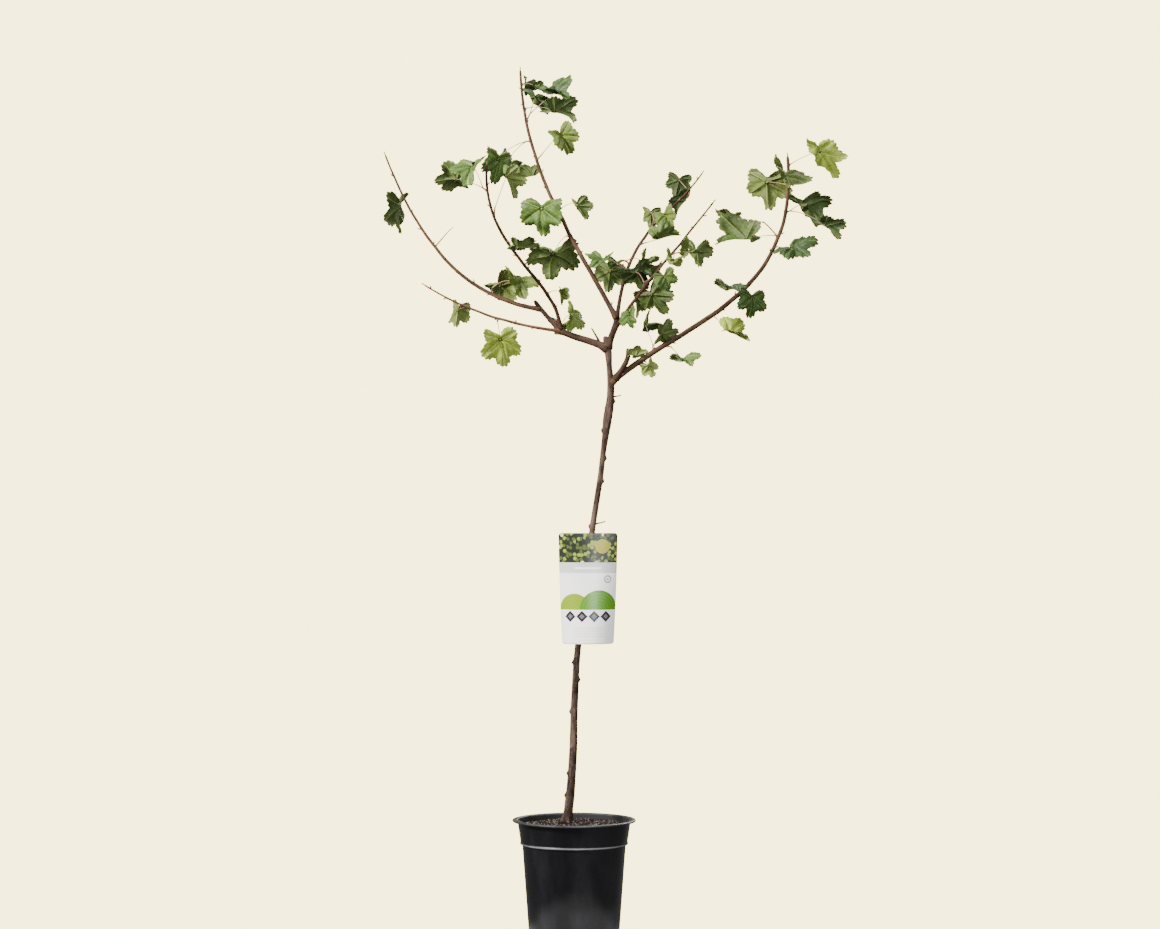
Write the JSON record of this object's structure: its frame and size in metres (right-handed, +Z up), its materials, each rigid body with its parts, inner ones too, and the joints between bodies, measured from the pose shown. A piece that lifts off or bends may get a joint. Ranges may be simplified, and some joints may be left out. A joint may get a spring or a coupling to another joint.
{
  "type": "potted standard jostaberry",
  "caption": "Young standard jostaberry in a nursery pot: a slim bare stem carrying a small open head of arching boughs and lobed leaves, with a picture card on the stem.",
  "frame": {"origin": "centre of the pot's flat underside", "axes": "+Z up along the stem, -Y toward the front, where the card hangs"},
  "size_m": [0.8371, 0.5063, 1.5841],
  "materials": {
    "pot": "satin black",
    "soil": "moist, crumbly",
    "bark": "matt grey-brown",
    "leaves": "soft satin green",
    "card": "coated card"
  },
  "bodies": {
    "root": {"pot": "pot", "soil": "soil", "trunk": "bark", "left_main_limb": "bark", "centre_limb": "bark", "right_bough": "bark", "short_limb": "bark", "cut_limb": "bark", "low_bough": "bark", "left_bough": "bark", "inner_left_bough": "bark", "leader_bough": "bark", "inner_right_bough": "bark", "middle_right_bough": "bark", "fork_snag": "bark", "low_leaves": "leaves", "left_spur_leaves": "leaves", "left_leaves": "leaves", "inner_left_spur_leaves": "leaves", "inner_left_leaves": "leaves", "leader_leaves": "leaves", "fork_leaves": "leaves", "inner_right_leaves": "leaves", "middle_right_foot_leaves": "leaves", "middle_right_low_leaves": "leaves", "middle_right_leaves": "leaves", "right_foot_leaves": "leaves", "right_low_leaves": "leaves", "right_elbow_leaves": "leaves", "right_middle_leaves": "leaves", "right_leaves": "leaves", "short_leaves": "leaves", "label": "card"}
  },
  "joints": []
}
